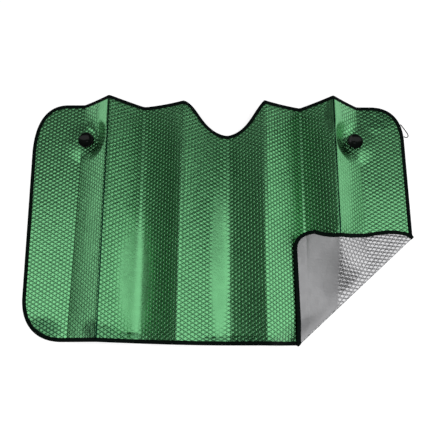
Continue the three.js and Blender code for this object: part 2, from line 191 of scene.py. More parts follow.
def blurred(values, radius):
    """Values along the profile, smoothed over a radius."""
    reach = np.arange(-4 * radius, 4 * radius + PROFILE_STEP, PROFILE_STEP)
    weight = np.exp(-0.5 * (reach / radius) ** 2)
    margin = len(reach)
    padded = np.pad(values, margin, mode="edge")
    return np.convolve(padded, weight / weight.sum(), mode="same")[margin:-margin]


profile_x = np.arange(-HALF_WIDTH, HALF_WIDTH + PROFILE_STEP, PROFILE_STEP)
sharp = sharp_profile(profile_x)
softness = np.interp(profile_x, FOLD_TOP, FOLD_SOFT)
profile_z = (1 - softness) * blurred(sharp, SHARP_RADIUS) + softness * blurred(sharp, SOFT_RADIUS)
profile_flat = np.concatenate([[0], np.cumsum(np.hypot(np.diff(profile_x), np.diff(profile_z)))])
FLAT_WIDTH = profile_flat[-1]
print(f"flat sheet {FLAT_WIDTH:.0f} x {HEIGHT:.0f} mm")

# %% [markdown]
# The bottom right corner is folded over along a straight crease, and the pleats flatten towards
# it. Under each suction cup the sheet lies over the cup's head, on a small tilted seat. All this
# is one surface through the middle of the foil.

# %% Middle surface of the sheet
CREASE_RIGHT_END = 299.0
CREASE_BOTTOM_END = 336.0
FADE_ON_PLEAT = 160.0
FADE_BESIDE = 60.0
CUP_FROM_VALLEY = 17.0
LEFT_CUP_Y = TOP - 119.0
RIGHT_CUP_Y = TOP - 124.0
CUP_TILT = math.radians(5)
CUP_SEAT_LIFT = 9.4
CUP_SEAT_RADIUS = 26.0
CUP_SEAT_BLEND = 72.0

crease_right = np.array([HALF_WIDTH, BOTTOM + CREASE_RIGHT_END])
crease_bottom = np.array([HALF_WIDTH - CREASE_BOTTOM_END, BOTTOM])
crease_along = (crease_right - crease_bottom) / np.linalg.norm(crease_right - crease_bottom)
crease_inward = np.array([-crease_along[1], crease_along[0]])
CUPS = {
    "suction_cup_left": (fold_at(LEFT_OUTER_VALLEY, LEFT_CUP_Y) + CUP_FROM_VALLEY, LEFT_CUP_Y, 1),
    "suction_cup_right": (fold_at(RIGHT_OUTER_VALLEY, RIGHT_CUP_Y) - CUP_FROM_VALLEY, RIGHT_CUP_Y, -1),
}


def smooth_step(value):
    """0 below 0, 1 above 1, and an even S between."""
    value = np.clip(value, 0, 1)
    return value * value * (3 - 2 * value)


def from_crease(x, y):
    """Distance from the crease, above 0 on the sheet and below 0 on the corner."""
    return (x - crease_bottom[0]) * crease_inward[0] + (y - crease_bottom[1]) * crease_inward[1]


def wander(x, y):
    """The slight unevenness of a sheet that has been folded many times."""
    slow = np.sin(x / 61 + y / 143) * np.sin(y / 97 - x / 211)
    quick = np.sin(x / 23 + 1.3) * np.sin(y / 41 + x / 67)
    return 0.55 * slow + 0.3 * quick


def sheet_middle(x, y):
    """Height of the sheet's middle surface."""
    fade_length = np.where(x < fold_at(RIGHT_INNER_VALLEY, y), FADE_BESIDE, FADE_ON_PLEAT)
    fade = smooth_step(from_crease(x, y) / fade_length)
    pleat = np.interp(slid(x, y, False), profile_x, profile_z)
    z = FOIL_MIDDLE + (pleat + wander(x, y) * np.clip(pleat / 12, 0, 1)) * fade
    for cup_x, cup_y, side in CUPS.values():
        seat = FOIL_MIDDLE + np.maximum(CUP_SEAT_LIFT + math.tan(CUP_TILT) * (x - cup_x) * side, 0)
        reach = np.hypot(x - cup_x, y - cup_y)
        blend = smooth_step((reach - CUP_SEAT_RADIUS) / (CUP_SEAT_BLEND - CUP_SEAT_RADIUS))
        z = seat + (z - seat) * blend
    return z


print(f"cups at x {CUPS['suction_cup_left'][0]:.0f} and {CUPS['suction_cup_right'][0]:.0f} mm")

# %% [markdown]
# The folded corner lies over the right outer pleat like a tent: it rests on the pleat's ridge and
# bridges straight down from there to its own left edge.

# %% Middle surface of the folded corner
FLAP_GAP = 1.5
FLAP_LIFT = FOIL_THICKNESS + FLAP_GAP
ROLL_RADIUS = FLAP_LIFT / 2
BRIDGE_BLEND = 50.0


def slopes(surface, x, y, probe=1.5):
    """Slope of a surface along X and along Y."""
    along_x = (surface(x + probe, y) - surface(x - probe, y)) / (2 * probe)
    along_y = (surface(x, y + probe) - surface(x, y - probe)) / (2 * probe)
    return along_x, along_y


def flap_middle(x, y):
    """Height of the folded corner's middle surface."""
    left = crease_bottom[0]
    ridge = fold_at(RIGHT_OUTER_RIDGE, y)
    valley = fold_at(RIGHT_OUTER_VALLEY, y)
    crest = sheet_middle(ridge + 0 * x, y)
    left_rest = sheet_middle(left + 0 * x, y)
    up = left_rest + (crest - left_rest) * (x - left) / (ridge - left)
    down = crest + (FOIL_MIDDLE - crest) * (x - ridge) / (valley - ridge)
    bridge = np.where(x <= ridge, up, np.where(x < valley, down, FOIL_MIDDLE))
    below = sheet_middle(x, y)
    share = smooth_step(from_crease(x, y) / BRIDGE_BLEND)
    along_x, along_y = slopes(sheet_middle, x, y)
    lift = FLAP_LIFT * (1 + share * (np.sqrt(1 + along_x**2 + along_y**2) - 1))
    return np.maximum(below + (bridge - below) * share, below) + lift


def lifted(surface, x, y, height):
    """Points at a height straight out of a surface, in metres."""
    along_x, along_y = slopes(surface, x, y)
    normal = np.stack([-along_x, -along_y, np.ones_like(along_x)], axis=-1)
    normal /= np.linalg.norm(normal, axis=-1, keepdims=True)
    point = np.stack([x, y, surface(x, y)], axis=-1)
    return (point + normal * height[..., None]) * MM


# %% [markdown]
# Both films and the tape are drawn on the unfolded sheet, and one function then folds them: the
# sheet stays, the crease turns half round a small roll, and the corner comes to lie upside down.

# %% Folding a point of the unfolded sheet
ROLL_LENGTH = math.pi * ROLL_RADIUS


def folded(x, y, height):
    """A point of the unfolded sheet, with its height above the middle on the green side."""
    away = from_crease(x, y)
    on_sheet = lifted(sheet_middle, x, y, height)
    turn = np.clip(-away / ROLL_RADIUS, 0, math.pi)
    reach = ROLL_RADIUS - height
    side = -away - reach * np.sin(turn)
    roll_z = FOIL_MIDDLE + ROLL_RADIUS - reach * np.cos(turn)
    on_roll = np.stack([x + crease_inward[0] * side, y + crease_inward[1] * side, roll_z], axis=-1) * MM
    back = -2 * away - ROLL_LENGTH
    on_flap = lifted(flap_middle, x + crease_inward[0] * back, y + crease_inward[1] * back, -height)
    beyond = away[..., None]
    return np.where(beyond >= 0, on_sheet, np.where(beyond > -ROLL_LENGTH, on_roll, on_flap))


# %% [markdown]
# The outline of the cut: straight edges and curves through large corners, with a notch in the top
# edge for the mirror's stem. Blender's own Bezier function gives the points of each curve. The
# corner's two edges are drawn where they lie after folding, and mirrored back over the crease.

# %% Outline of the unfolded sheet
EDGE_BULGE = 9.0
LEFT_LEAN = 7.5
TOP_LEFT_CORNER = (96.0, 149.0)
TOP_LEFT_FULL = 0.65
TOP_RIGHT_CORNER = (92.0, 114.0)
BOTTOM_CORNER = (115.0, 124.0)
FULL = 0.62
FLAP_CORNER = (59.0, 53.0)
FLAP_TOP_RISE = 16.0
FLAP_TOP_STRAIGHT = 71.0
FLAP_SAG_AT_RIDGE = 20.0
FLAP_LEFT_LEAN = 4.0
CURVE_STEPS = 28


def straight(a, b):
    """A straight stretch of an outline, without its last point."""
    steps = max(2, int(math.dist(a, b) / 12))
    return [tuple(Vector(a).lerp(Vector(b), i / steps)) for i in range(steps)]


def curve(a, handle_a, handle_b, b):
    """A Bezier stretch of an outline, without its last point."""
    points = interpolate_bezier(Vector(a), Vector(handle_a), Vector(handle_b), Vector(b), CURVE_STEPS)
    return [tuple(point)[:2] for point in points[:-1]]


def bow(a, handle, b):
    """A stretch with one handle, as a Bezier curve with two."""
    a, handle, b = Vector(a), Vector(handle), Vector(b)
    return curve(a, a.lerp(handle, 2 / 3), b.lerp(handle, 2 / 3), b)


def sheet_edge():
    """The edge of the sheet, from the right end of the crease round to its bottom end."""
    half = HALF_WIDTH
    starts = [(float(x), float(y)) for x, y in zip(FOLD_TOP, FOLD_START)]
    left_ridge, right_ridge = starts[LEFT_INNER_RIDGE], starts[RIGHT_INNER_RIDGE]
    notch_x, notch_y = starts[MIDDLE_VALLEY]
    right_top = starts[RIGHT_OUTER_VALLEY][1]
    right_x, right_y = half - TOP_RIGHT_CORNER[0], TOP - TOP_RIGHT_CORNER[1]
    left_x, left_y = TOP_LEFT_CORNER[0] - half, TOP - TOP_LEFT_CORNER[1]
    foot_side, foot_y = LEFT_LEAN - half, BOTTOM + EDGE_BULGE
    foot_x, foot_top = foot_side + BOTTOM_CORNER[0], foot_y + BOTTOM_CORNER[1]
    left_ridge_foot = (fold_at(LEFT_OUTER_RIDGE, BOTTOM), foot_y)
    points = straight(tuple(crease_right), (half, right_y))
    points += curve(
        (half, right_y), (half, right_y + FULL * TOP_RIGHT_CORNER[1]),
        (right_x + FULL * TOP_RIGHT_CORNER[0], right_top), (right_x, right_top),
    )
    points += straight((right_x, right_top), starts[RIGHT_OUTER_VALLEY])
    points += straight(starts[RIGHT_OUTER_VALLEY], starts[RIGHT_OUTER_RIDGE])
    points += bow(starts[RIGHT_OUTER_RIDGE], starts[RIGHT_INNER_VALLEY], right_ridge)
    points += curve(
        right_ridge, (right_ridge[0] - 35, right_ridge[1] - 30),
        (notch_x + 60, notch_y), (notch_x, notch_y),
    )
    points += curve(
        (notch_x, notch_y), (notch_x - 77, notch_y),
        (left_ridge[0] + 42, left_ridge[1]), left_ridge,
    )
    points += bow(left_ridge, starts[LEFT_INNER_VALLEY], starts[LEFT_OUTER_RIDGE])
    points += straight(starts[LEFT_OUTER_RIDGE], starts[LEFT_OUTER_VALLEY])
    points += straight(starts[LEFT_OUTER_VALLEY], (left_x, TOP))
    points += curve(
        (left_x, TOP), (left_x - TOP_LEFT_FULL * TOP_LEFT_CORNER[0], TOP),
        (-half, left_y + TOP_LEFT_FULL * TOP_LEFT_CORNER[1]), (-half, left_y),
    )
    points += straight((-half, left_y), (foot_side, foot_top))
    points += curve(
        (foot_side, foot_top), (foot_side, foot_top - FULL * BOTTOM_CORNER[1]),
        (foot_x - FULL * BOTTOM_CORNER[0], foot_y), (foot_x, foot_y),
    )
    points += straight((foot_x, foot_y), left_ridge_foot)
    notch_foot = (fold_at(MIDDLE_VALLEY, BOTTOM), BOTTOM)
    points += bow(left_ridge_foot, (fold_at(LEFT_INNER_RIDGE, BOTTOM), BOTTOM), notch_foot)
    points += straight(notch_foot, tuple(crease_bottom))
    return np.array(points)


def corner_edge():
    """The edge of the corner as it lies folded, from the bottom end of the crease to its right end."""
    top_y = crease_right[1] + FLAP_TOP_RISE
    corner_y = top_y - FLAP_TOP_RISE / 2
    left = crease_bottom[0] - FLAP_LEFT_LEAN
    bend = (HALF_WIDTH - FLAP_TOP_STRAIGHT, top_y)
    ridge = fold_at(RIGHT_OUTER_RIDGE, BOTTOM)
    points = straight(tuple(crease_bottom), (left, corner_y - FLAP_CORNER[1]))
    points += bow((left, corner_y - FLAP_CORNER[1]), (left, corner_y), (left + FLAP_CORNER[0], corner_y))
    points += curve(
        (left + FLAP_CORNER[0], corner_y), (ridge, top_y - 2 * FLAP_SAG_AT_RIDGE),
        ((bend[0] + ridge) / 2, top_y - FLAP_SAG_AT_RIDGE / 4), bend,
    )
    points += bow(bend, (crease_right[0] - FLAP_TOP_RISE, top_y), tuple(crease_right))
    return np.array(points + [tuple(crease_right)])


corner_folded = corner_edge()
over = 2 * from_crease(corner_folded[:, 0], corner_folded[:, 1]) + ROLL_LENGTH
corner_unfolded = corner_folded - over[:, None] * crease_inward
OUTLINE = np.concatenate([sheet_edge(), [crease_bottom], corner_unfolded])
print(f"outline of {len(OUTLINE)} points")


def depth_inside(x, y):
    """Distance from the outline: above 0 on the sheet, below 0 beside it."""
    nearest = np.full(np.shape(x), np.inf)
    inside = np.zeros(np.shape(x), bool)
    for (ax, ay), (bx, by) in zip(OUTLINE, np.roll(OUTLINE, -1, axis=0)):
        dx, dy = bx - ax, by - ay
        if dx == 0 and dy == 0:
            continue
        share = np.clip(((x - ax) * dx + (y - ay) * dy) / (dx * dx + dy * dy), 0, 1)
        nearest = np.minimum(nearest, np.hypot(x - ax - share * dx, y - ay - share * dy))
        if dy != 0:
            crosses = (ay > y) != (by > y)
            inside ^= crosses & (x < ax + (y - ay) / dy * dx)
    return np.where(inside, nearest, -nearest)


# %% [markdown]
# Air bubbles stand in staggered rows on the flat sheet. No two are quite equally full, and they
# are pressed flat along the folds, beside the tape and at the crease.

# %% Bubbles
PITCH_ALONG = 11.6
PITCH_ACROSS = 10.05
BUBBLE_RADIUS = 5.3
BUBBLE_HEIGHT = 0.95
FILM_REST = 1.1
fullness = np.random.default_rng(7).uniform(0.55, 1.0, (128, 128))


def bubble_relief(u, v):
    """Height of the bubbles over the flat film."""
    relief = np.zeros(np.shape(u))
    for shift in (0, 0.5):
        column = np.round(u / (2 * PITCH_ACROSS) - shift) + shift
        row = np.round(v / PITCH_ALONG - shift) + shift
        reach = np.hypot(u - column * 2 * PITCH_ACROSS, v - row * PITCH_ALONG)
        full = fullness[(2 * column).astype(int) % 128, (2 * row).astype(int) % 128]
        dome = np.clip(1 - (reach / BUBBLE_RADIUS) ** 4, 0, 1) ** 0.8
        relief = np.maximum(relief, BUBBLE_HEIGHT * full * dome)
    return relief


# %% [markdown]
# The film isn't equally tight everywhere. Where it has gone slack, the bubbles hardly show, and
# where it was squeezed, it is rumpled. Each patch is a soft ellipse on the sheet as it lies: its
# middle, its two half widths and how strong it is. They press the bubbles here, and the foil
# materials read them again as attributes, to paint shade on both kinds of patch.

# %% Slack and rumpled patches
SLACK = [
    (-228, -170, 54, 190, 1.0), (-330, 300, 26, 60, 0.9), (330, 290, 30, 75, 0.9),
    (345, 120, 34, 200, 0.7), (-352, -40, 26, 120, 0.5), (2, -130, 30, 240, 1.0),
]
RUMPLED = [
    (-480, -310, 60, 36, 1.0), (-330, -320, 26, 40, 1.0), (-300, -320, 40, 22, 0.7),
    (470, 300, 60, 40, 0.6), (-250, -330, 60, 14, 0.7), (60, -335, 120, 10, 0.6),
]


def patches(x, y, ellipses):
    """How far a place lies within soft ellipses, from 0 to 1."""
    cover = np.zeros(np.shape(x))
    for middle_x, middle_y, half_x, half_y, strength in ellipses:
        reach = np.hypot((x - middle_x) / half_x, (y - middle_y) / half_y)
        cover = np.maximum(cover, strength * (1 - smooth_step((reach - 0.55) / 0.6)))
    return cover


def slackness(x, y):
    """How slack the film is: on the sheet in patches, and on the whole left of the corner."""
    beyond = -2 * from_crease(x, y) - ROLL_LENGTH
    folded_x = x + crease_inward[0] * beyond
    on_corner = 1 - smooth_step((folded_x - fold_at(RIGHT_OUTER_RIDGE, y) + 6) / 8)
    return np.where(from_crease(x, y) < -ROLL_LENGTH, on_corner, patches(x, y, SLACK))


fold_flat = np.interp(FOLD_TOP[1:-1], profile_x, profile_flat)


def pressed(u, x, y):
    """How full the bubbles are at a place: 1 on an open panel, less where they are pressed."""
    at_fold = np.min(np.abs(u[..., None] - fold_flat), axis=-1)
    full = 0.35 + 0.65 * smooth_step(at_fold / 9)
    full *= 0.2 + 0.8 * smooth_step((depth_inside(x, y) - 8) / 9)
    full *= smooth_step(np.abs(from_crease(x, y) + ROLL_LENGTH / 2) / 16)
    return full * (1 - 0.9 * slackness(x, y))


# %% [markdown]
# A film starts as a flat grid whose lines fall on the bubbles' tops, made by create_grid. It is
# cut along the crease by bisect_plane, trimmed under the tape, and then bent. Its UV map keeps
# the place on the flat sheet in metres, for the materials.

# %% Flat grids for the films
TRIM = 4.0
ROLL_CUTS = 5


def flat_grid(width, height, step_across, step_along):
    """A grid over the flat sheet, from its lower left corner."""
    bm = bmesh.new()
    columns, rows = math.ceil(width / step_across), math.ceil(height / step_along)
    size = Vector((columns * step_across / 2, rows * step_along / 2, 1))
    matrix = Matrix.Translation((size.x, size.y, 0)) @ Matrix.Diagonal((size.x, size.y, 1, 1))
    bmesh.ops.create_grid(bm, x_segments=columns, y_segments=rows, size=1, matrix=matrix)
    return bm


def cut(bm, distance, keep_side=0):
    """Cuts along a line at a distance from the crease, and may drop what is past it."""
    place = crease_bottom + crease_inward * distance
    geometry = bm.verts[:] + bm.edges[:] + bm.faces[:]
    bmesh.ops.bisect_plane(
        bm, geom=geometry, plane_co=(*place, 0), plane_no=(*crease_inward, 0),
        clear_inner=keep_side > 0, clear_outer=keep_side < 0, dist=1e-4,
    )


def coordinates(points):
    """Vertex coordinates as three arrays."""
    return np.array([point.co for point in points], float).T


def trimmed(bm):
    """Deletes what lies outside the outline, or in the holes of the suction cups."""
    x, y, _ = coordinates(bm.verts)
    outside = depth_inside(x, y) < TRIM
    for cup_x, cup_y, _ in CUPS.values():
        outside |= np.hypot(x - cup_x, y - cup_y) < 3.4
    bmesh.ops.delete(bm, geom=[vert for vert, out in zip(bm.verts, outside) if out], context="VERTS")


def bent_mesh(name, bm, u, v, places, **values):
    """A mesh of the flat grid at its bent places, with its UV map and values as attributes."""
    mesh = bpy.data.meshes.new(name)
    bm.to_mesh(mesh)
    bm.free()
    mesh.vertices.foreach_set("co", places.reshape(-1).astype(np.float32))
    corners = np.empty(len(mesh.loops), np.int32)
    mesh.loops.foreach_get("vertex_index", corners)
    layer = mesh.uv_layers.new(name="flat")
    layer.uv.foreach_set("vector", (np.stack([u, v], axis=-1)[corners] * MM).reshape(-1).astype(np.float32))
    for attribute, value in values.items():
        made = mesh.attributes.new(attribute, "FLOAT", "POINT")
        made.data.foreach_set("value", value.astype(np.float32))
    mesh.update()
    return mesh


# %% [markdown]
# The sheet's own grid leans with the folds. The corner has a grid of its own, cut in narrow
# strips where it rolls round the crease.

# %% Films of the sheet and of the corner
def sheet_part(name, side, step_across, step_along):
    """The film on one side of the sheet, up to the crease."""
    bm = flat_grid(FLAT_WIDTH, HEIGHT, step_across, step_along)
    u, v, _ = coordinates(bm.verts)
    x = slid(np.interp(u, profile_flat, profile_x), v + BOTTOM, True)
    for vert, place in zip(bm.verts, x):
        vert.co.x = place
        vert.co.y += BOTTOM
    cut(bm, 0, 1)
    trimmed(bm)
    x, y, _ = coordinates(bm.verts)
    u = np.interp(slid(x, y, False), profile_x, profile_flat)
    v = y - BOTTOM
    relief = FILM_REST + bubble_relief(u, v) * pressed(u, x, y)
    slack, rumpled = slackness(x, y), patches(x, y, RUMPLED)
    return bent_mesh(name, bm, u, v, folded(x, y, side * relief), slack=slack, rumpled=rumpled)


def corner_part(name, side, step_across, step_along):
    """The film on one side of the corner, from the crease on."""
    left, low = np.minimum(crease_bottom, corner_unfolded.min(axis=0))
    right, high = np.maximum(crease_right, corner_unfolded.max(axis=0))
    bm = flat_grid(right - left, high - low, step_across, step_along)
    bmesh.ops.translate(bm, verts=bm.verts, vec=(left, low, 0))
    for i in range(ROLL_CUTS + 1):
        cut(bm, -ROLL_LENGTH * i / ROLL_CUTS, -1 if i == 0 else 0)
    trimmed(bm)
    x, y, _ = coordinates(bm.verts)
    u, v = x - left, y - low
    relief = FILM_REST + bubble_relief(u, v) * pressed(u + FLAT_WIDTH, x, y)
    slack, rumpled = slackness(x, y), patches(x, y, RUMPLED)
    return bent_mesh(name, bm, u, v, folded(x, y, side * relief), slack=slack, rumpled=rumpled)


def film(name, side, sheet_steps, corner_steps):
    """One film of the laminate, on the green side (1) or the silver side (-1)."""
    bm = bmesh.new()
    bm.from_mesh(sheet_part(name + "_sheet", side, *sheet_steps))
    bm.from_mesh(corner_part(name + "_corner", side, *corner_steps))
    if side < 0:
        bmesh.ops.reverse_faces(bm, faces=bm.faces)
    mesh = bpy.data.meshes.new(name)
    bm.to_mesh(mesh)
    bm.free()
    mesh.shade_smooth()
    piece = bpy.data.objects.new(name, mesh)
    bpy.context.scene.collection.objects.link(piece)
    mesh.calc_loop_triangles()
    print(f"{name}: {len(mesh.loop_triangles)} triangles")
    return piece


COARSE = (PITCH_ACROSS / 3, PITCH_ALONG / 4)
FINE = (PITCH_ACROSS / 5, PITCH_ALONG / 6)
UNSEEN = (PITCH_ACROSS / 2, PITCH_ALONG / 4)
green_film = film("green_film", 1, COARSE, UNSEEN)
silver_film = film("silver_film", -1, UNSEEN, FINE)

# %% [markdown]
# Binding. A folded tape closes the edge of the laminate, all round and round both ends of the
# crease. It is a strip of a few rows across, wrapped in a U over the edge, so a long grid is
# bent along the outline and its two long sides are welded under the foil.

# %% Binding
TAPE_STEP = 3.0
TAPE_WIDTH = 11.0
TAPE_HALF = [
    (TAPE_WIDTH - 0.3, 0.7), (TAPE_WIDTH, 1.35), (TAPE_WIDTH - 0.35, 1.85), (8.6, 2.1), (5.0, 2.2),
    (2.2, 2.1), (0.8, 1.75), (0.15, 1.0), (0.0, 0.0),
]
TAPE_SECTION = np.array(TAPE_HALF + [(d, -h) for d, h in TAPE_HALF[-2::-1]])


def evenly(points, spacing):
    """A closed outline with its points at even distances."""
    closed = np.concatenate([points, points[:1]])
    lengths = np.linalg.norm(np.diff(closed, axis=0), axis=1)
    along = np.concatenate([[0], np.cumsum(lengths)])
    count = int(along[-1] / spacing)
    places = np.arange(count) * along[-1] / count
    spread = np.stack([np.interp(places, along, closed[:, axis]) for axis in (0, 1)], axis=-1)
    return spread, along[-1] / count


edge_points, edge_step = evenly(OUTLINE, TAPE_STEP)
edge_direction = np.roll(edge_points, -2, axis=0) - np.roll(edge_points, 2, axis=0)
edge_direction /= np.linalg.norm(edge_direction, axis=1, keepdims=True)
edge_inward = np.stack([-edge_direction[:, 1], edge_direction[:, 0]], axis=-1)


def over_edge(station, depth, height):
    """A place on the tape: along the edge, in from it, and above the foil's middle."""
    first = np.floor(station).astype(int)
    share = (station - first)[..., None]
    a, b = first % len(edge_points), (first + 1) % len(edge_points)
    point = edge_points[a] * (1 - share) + edge_points[b] * share
    inward = edge_inward[a] * (1 - share) + edge_inward[b] * share
    place = point + inward * depth[..., None]
    return folded(place[..., 0], place[..., 1], height)


def binding():
    """The tape round the whole edge."""
    stations, rows = len(edge_points), len(TAPE_SECTION)
    bm = bmesh.new()
    half = (stations / 2, rows / 2)
    matrix = Matrix.Translation((*half, 0)) @ Matrix.Diagonal((*half, 1, 1))
    bmesh.ops.create_grid(bm, x_segments=stations, y_segments=rows, size=1, matrix=matrix)
    station, row, _ = coordinates(bm.verts)
    row = np.round(row).astype(int)
    section = TAPE_SECTION[row % rows]
    widths = np.linalg.norm(np.diff(TAPE_SECTION, axis=0, append=TAPE_SECTION[:1]), axis=1)
    across = np.concatenate([[0], np.cumsum(widths)])[row]
    places = over_edge(station, section[:, 0], section[:, 1])
    mesh = bent_mesh("binding_tape", bm, station * edge_step, across, places)
    bm = bmesh.new()
    bm.from_mesh(mesh)
    bmesh.ops.remove_doubles(bm, verts=bm.verts, dist=1e-6)
    bmesh.ops.recalc_face_normals(bm, faces=bm.faces)
    bm.to_mesh(mesh)
    bm.free()
    mesh.shade_smooth()
    piece = bpy.data.objects.new("binding_tape", mesh)
    bpy.context.scene.collection.objects.link(piece)
    print(f"binding: {stations} stations, {len(mesh.polygons)} faces")
    return piece


binding_tape = binding()

# %% [markdown]
# Stitches. A lockstitch seam holds the tape, a little in from its inner edge, on both faces. Each
# stitch is one small straight loaf of thread, made with create_icosphere and stretched along the
# seam. The two that would have to bend round the ends of the crease are left out.

# %% Stitches
STITCH_LENGTH = 3.0
STITCH_PITCH = 3.8
STITCH_THICKNESS = 0.55
SEAM_IN = 8.7
SEAM_HEIGHTS = (2.05, -1.95)
MOST_BEND = 0.7


def stitches():
    """All the stitches of both faces, in one piece."""
    bm = bmesh.new()
    count = int(len(edge_points) * edge_step / STITCH_PITCH)
    middle = np.arange(count) * len(edge_points) / count
    half = STITCH_LENGTH / 2 / edge_step
    depth = np.full(count, SEAM_IN)
    made = 0
    for height in SEAM_HEIGHTS:
        rest = np.full(count, height)
        starts = over_edge(middle - half, depth, rest)
        ends = over_edge(middle + half, depth, rest)
        tops = over_edge(middle, depth, rest * 1.2)
        beds = over_edge(middle, depth, rest)
        for start, end, top, bed in zip(starts, ends, tops, beds):
            if np.linalg.norm((start + end) / 2 - bed) > MOST_BEND * MM:
                continue
            made += 1
            along = Vector(end - start)
            up = Vector(top - bed).normalized()
            across = up.cross(along).normalized()
            size = STITCH_THICKNESS / 2 * MM
            turn = Matrix((along / 2, across * size, up * size * 0.8)).transposed().to_4x4()
            place = Matrix.Translation(Vector(bed)) @ turn
            bmesh.ops.create_icosphere(bm, subdivisions=1, radius=1, matrix=place)
    bmesh.ops.recalc_face_normals(bm, faces=bm.faces)
    mesh = bpy.data.meshes.new("stitches")
    bm.to_mesh(mesh)
    bm.free()
    mesh.shade_smooth()
    piece = bpy.data.objects.new("stitches", mesh)
    bpy.context.scene.collection.objects.link(piece)
    print(f"stitches: {made} of {2 * count}, {len(mesh.polygons)} faces")
    return piece


seam_stitches = stitches()

# %% [markdown]
# Suction cups. Each is one moulding of soft black PVC: a thin bowl, a shoulder, a neck through
# the foil and a mushroom head behind it. It is turned like a vase: half its section is drawn
# once, and spin takes it round.

# %% Suction cups
CUP_RADIUS = 22.5
CUP_DEPTH = 11.0
CUP_TOP = FOIL_THICKNESS / 2 + 0.3
CUP_STEPS = 72


def cup_section():
    """Half the section of a cup, from the head's middle round to the bowl's middle."""
    top, rim_z = CUP_TOP, CUP_TOP + CUP_DEPTH
    head = [(0, -top - 4), (4.2, -top - 4), (5.4, -top - 3.6), (6, -top - 2.6), (6, -top - 0.4), (5.6, -top)]
    neck = [(3.9, -top), (3.5, -top + 0.5), (3.5, top - 0.4), (3.9, top)]
    shoulder = [(7.1, top), (7.5, top + 0.4), (7.5, top + 1.2), (7.9, top + 1.6)]
    outside = curve((7.9, top + 1.6), (15, top + 3), (21.5, top + 7.4), (CUP_RADIUS - 0.15, rim_z - 0.5))
    lip = [(CUP_RADIUS, rim_z - 0.25), (CUP_RADIUS - 0.1, rim_z), (CUP_RADIUS - 0.8, rim_z)]
    inside = curve((CUP_RADIUS - 1.1, rim_z - 0.15), (19.2, top + 7.6), (12, top + 2.9), (3.2, top + 2.25))
    pip = [(3.2, top + 2.25), (2.9, top + 2.6), (2.2, top + 2.8), (0, top + 2.85)]
    return head + neck + shoulder + outside[1:] + lip + inside + pip


def suction_cup(name, cup_x, cup_y, side):
    """A cup on its seat, tilted with it."""
    bm = bmesh.new()
    section = [bm.verts.new((radius, 0, z)) for radius, z in cup_section()]
    edges = [bm.edges.new(pair) for pair in zip(section, section[1:])]
    bmesh.ops.spin(
        bm, geom=section + edges, cent=(0, 0, 0), axis=(0, 0, 1), angle=2 * math.pi,
        steps=CUP_STEPS, use_merge=True, use_duplicate=False,
    )
    bmesh.ops.remove_doubles(bm, verts=bm.verts, dist=1e-4)
    bmesh.ops.recalc_face_normals(bm, faces=bm.faces)
    tilt = Matrix.Rotation(-CUP_TILT * side, 4, "Y")
    place = Matrix.Translation((cup_x, cup_y, FOIL_MIDDLE + CUP_SEAT_LIFT)) @ tilt
    bmesh.ops.transform(bm, matrix=Matrix.Scale(MM, 4) @ place, verts=bm.verts)
    mesh = bpy.data.meshes.new(name)
    bm.to_mesh(mesh)
    bm.free()
    mesh.shade_smooth()
    piece = bpy.data.objects.new(name, mesh)
    bpy.context.scene.collection.objects.link(piece)
    print(f"{name}: {len(mesh.polygons)} faces")
    return piece


cups = {node: suction_cup(node + "_moulding", *place) for node, place in CUPS.items()}

# %% [markdown]
# Helpers for materials. A material is a Principled BSDF with other nodes in front of it. The
# helper adds a node with its settings and the values or links of its inputs in one call.

# %% Node helpers
def node(tree, kind, inputs=None, **settings):
    """Adds a node. Inputs are values, or outputs of other nodes."""
    made = tree.nodes.new(kind)
    for name, value in settings.items():
        setattr(made, name, value)
    for socket, value in (inputs or {}).items():
        if isinstance(value, bpy.types.NodeSocket):
            tree.links.new(value, made.inputs[socket])
        else:
            made.inputs[socket].default_value = value
    return made


def maths(tree, operation, a, b=0.0, c=0.0):
    """A Math node's result."""
    return node(tree, "ShaderNodeMath", {0: a, 1: b, 2: c}, operation=operation).outputs[0]


def vectors(tree, operation, a, b=(0, 0, 0)):
    """A Vector Math node's result."""
    made = node(tree, "ShaderNodeVectorMath", {0: a, 1: b}, operation=operation)
    return made.outputs["Value" if operation == "LENGTH" else "Vector"]


def new_group(name, inputs, outputs):
    """An empty node group with its sockets."""
    group = bpy.data.node_groups.new(name, "ShaderNodeTree")
    for socket, kind, value in inputs:
        made = group.interface.new_socket(socket, in_out="INPUT", socket_type=kind)
        if value is not None:
            made.default_value = value
    for socket, kind in outputs:
        group.interface.new_socket(socket, in_out="OUTPUT", socket_type=kind)
    return group, group.nodes.new("NodeGroupInput").outputs, group.nodes.new("NodeGroupOutput").inputs


def new_material(name):
    """A material with its Principled BSDF."""
    material = bpy.data.materials.new(name)
    material.use_nodes = True
    return material, material.node_tree, material.node_tree.nodes["Principled BSDF"]
